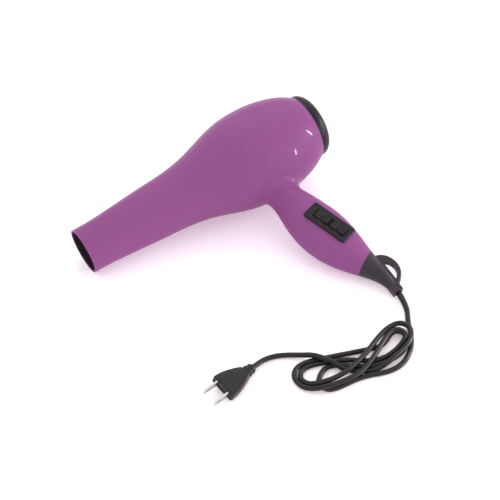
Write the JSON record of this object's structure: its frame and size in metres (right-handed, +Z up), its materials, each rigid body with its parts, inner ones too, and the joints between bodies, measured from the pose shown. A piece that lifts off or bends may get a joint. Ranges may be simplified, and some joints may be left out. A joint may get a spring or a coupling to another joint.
{
  "type": "hand-held hair dryer",
  "caption": "Compact hand-held hair dryer lying on its side: slim nozzle, round fan bulb, leaf-shaped handle with rocker switches, hanging loop, and a hanked lead with a flat two-blade plug.",
  "frame": {"origin": "on the floor, under the middle of the dryer's own box, lead and plug left out", "axes": "+X from the nozzle's mouth to the rear cover, +Y from the handle towards the barrel, +Z up from the floor"},
  "size_m": [0.2449, 0.2778, 0.0888],
  "materials": {
    "dark_liner": "heat resistant lining of the nozzle",
    "shell_purple": "satin moulded, coloured through",
    "boot_rubber": "soft moulded",
    "black_plastic": "fine grained",
    "rocker_plastic": "satin",
    "cord_rubber": "smooth flexible jacket",
    "plated_steel": "nickel plated",
    "nickel_blades": "plated",
    "mica": "pressed mica sheet",
    "resistance_wire": "drawn",
    "fan_plastic": "moulded",
    "ferrite": "sintered",
    "core_steel": "stamped laminations",
    "copper": "enamelled copper",
    "bush_bronze": "sintered",
    "carbon": "pressed carbon",
    "filter_mesh": "woven mesh",
    "board_green": "circuit board",
    "wire_red": "wire sleeve",
    "wire_white": "wire sleeve",
    "wire_blue": "wire sleeve"
  },
  "bodies": {
    "dryer": {"upper_shell": "shell_purple", "lower_shell": "shell_purple", "shell_screws": "plated_steel", "heat_shield": "dark_liner", "outlet_grille": "black_plastic", "heater_board_flat": "mica", "heater_board_upright": "mica", "heater_end_plate": "mica", "heating_coil_low": "resistance_wire", "heating_coil_high": "resistance_wire", "thermostat": "plated_steel", "thermal_fuse": "plated_steel", "fan_housing": "fan_plastic", "motor_can": "plated_steel", "motor_magnets": "ferrite", "motor_end_cap": "fan_plastic", "front_bush": "bush_bronze", "rear_bush": "bush_bronze", "motor_brushes": "carbon", "rear_guard": "fan_plastic", "switch_plate": "black_plastic", "heat_switch": "fan_plastic", "speed_switch": "fan_plastic", "rectifier_board": "board_green", "live_wire": "wire_red", "neutral_wire": "wire_blue", "heater_wire": "wire_white", "cable_clamp": "fan_plastic", "clamp_screws": "plated_steel", "inner_lead": "cord_rubber", "end_boot": "boot_rubber", "cord_sleeve": "cord_rubber", "cord_lead": "cord_rubber", "cord_tail": "cord_rubber", "cord_hank": "cord_rubber", "plug_body": "cord_rubber", "plug_blades": "nickel_blades"},
    "rotor": {"impeller": "fan_plastic", "motor_shaft": "plated_steel", "armature_core": "core_steel", "armature_windings": "copper", "commutator": "copper"},
    "cover": {"rear_cover": "black_plastic", "filter_ring": "black_plastic", "filter_mesh": "filter_mesh"},
    "heat_rocker_body": {"heat_rocker": "rocker_plastic"},
    "speed_rocker_body": {"speed_rocker": "rocker_plastic"}
  },
  "joints": [
    {"name": "fan_spin", "type": "hinge", "parent": "dryer", "child": "rotor", "pos_m": [0.08337, 0.06515, 0.04868], "axis": [0.9902, 0, 0.1394], "continuous": true},
    {"name": "heat_rocker_tilt", "type": "hinge", "parent": "dryer", "child": "heat_rocker_body", "pos_m": [0.06345, -0.02552, 0.03448], "axis": [0.9443, 0.3248, 0.0534], "range_deg": [-10, 10]},
    {"name": "speed_rocker_tilt", "type": "hinge", "parent": "dryer", "child": "speed_rocker_body", "pos_m": [0.06897, -0.04105, 0.03126], "axis": [0.9443, 0.3248, 0.0534], "range_deg": [-10, 10]},
    {"name": "rear_cover_off", "type": "slide", "parent": "dryer", "child": "cover", "axis": [0.9902, 0, 0.1394], "range_m": [0, 0.03]}
  ]
}
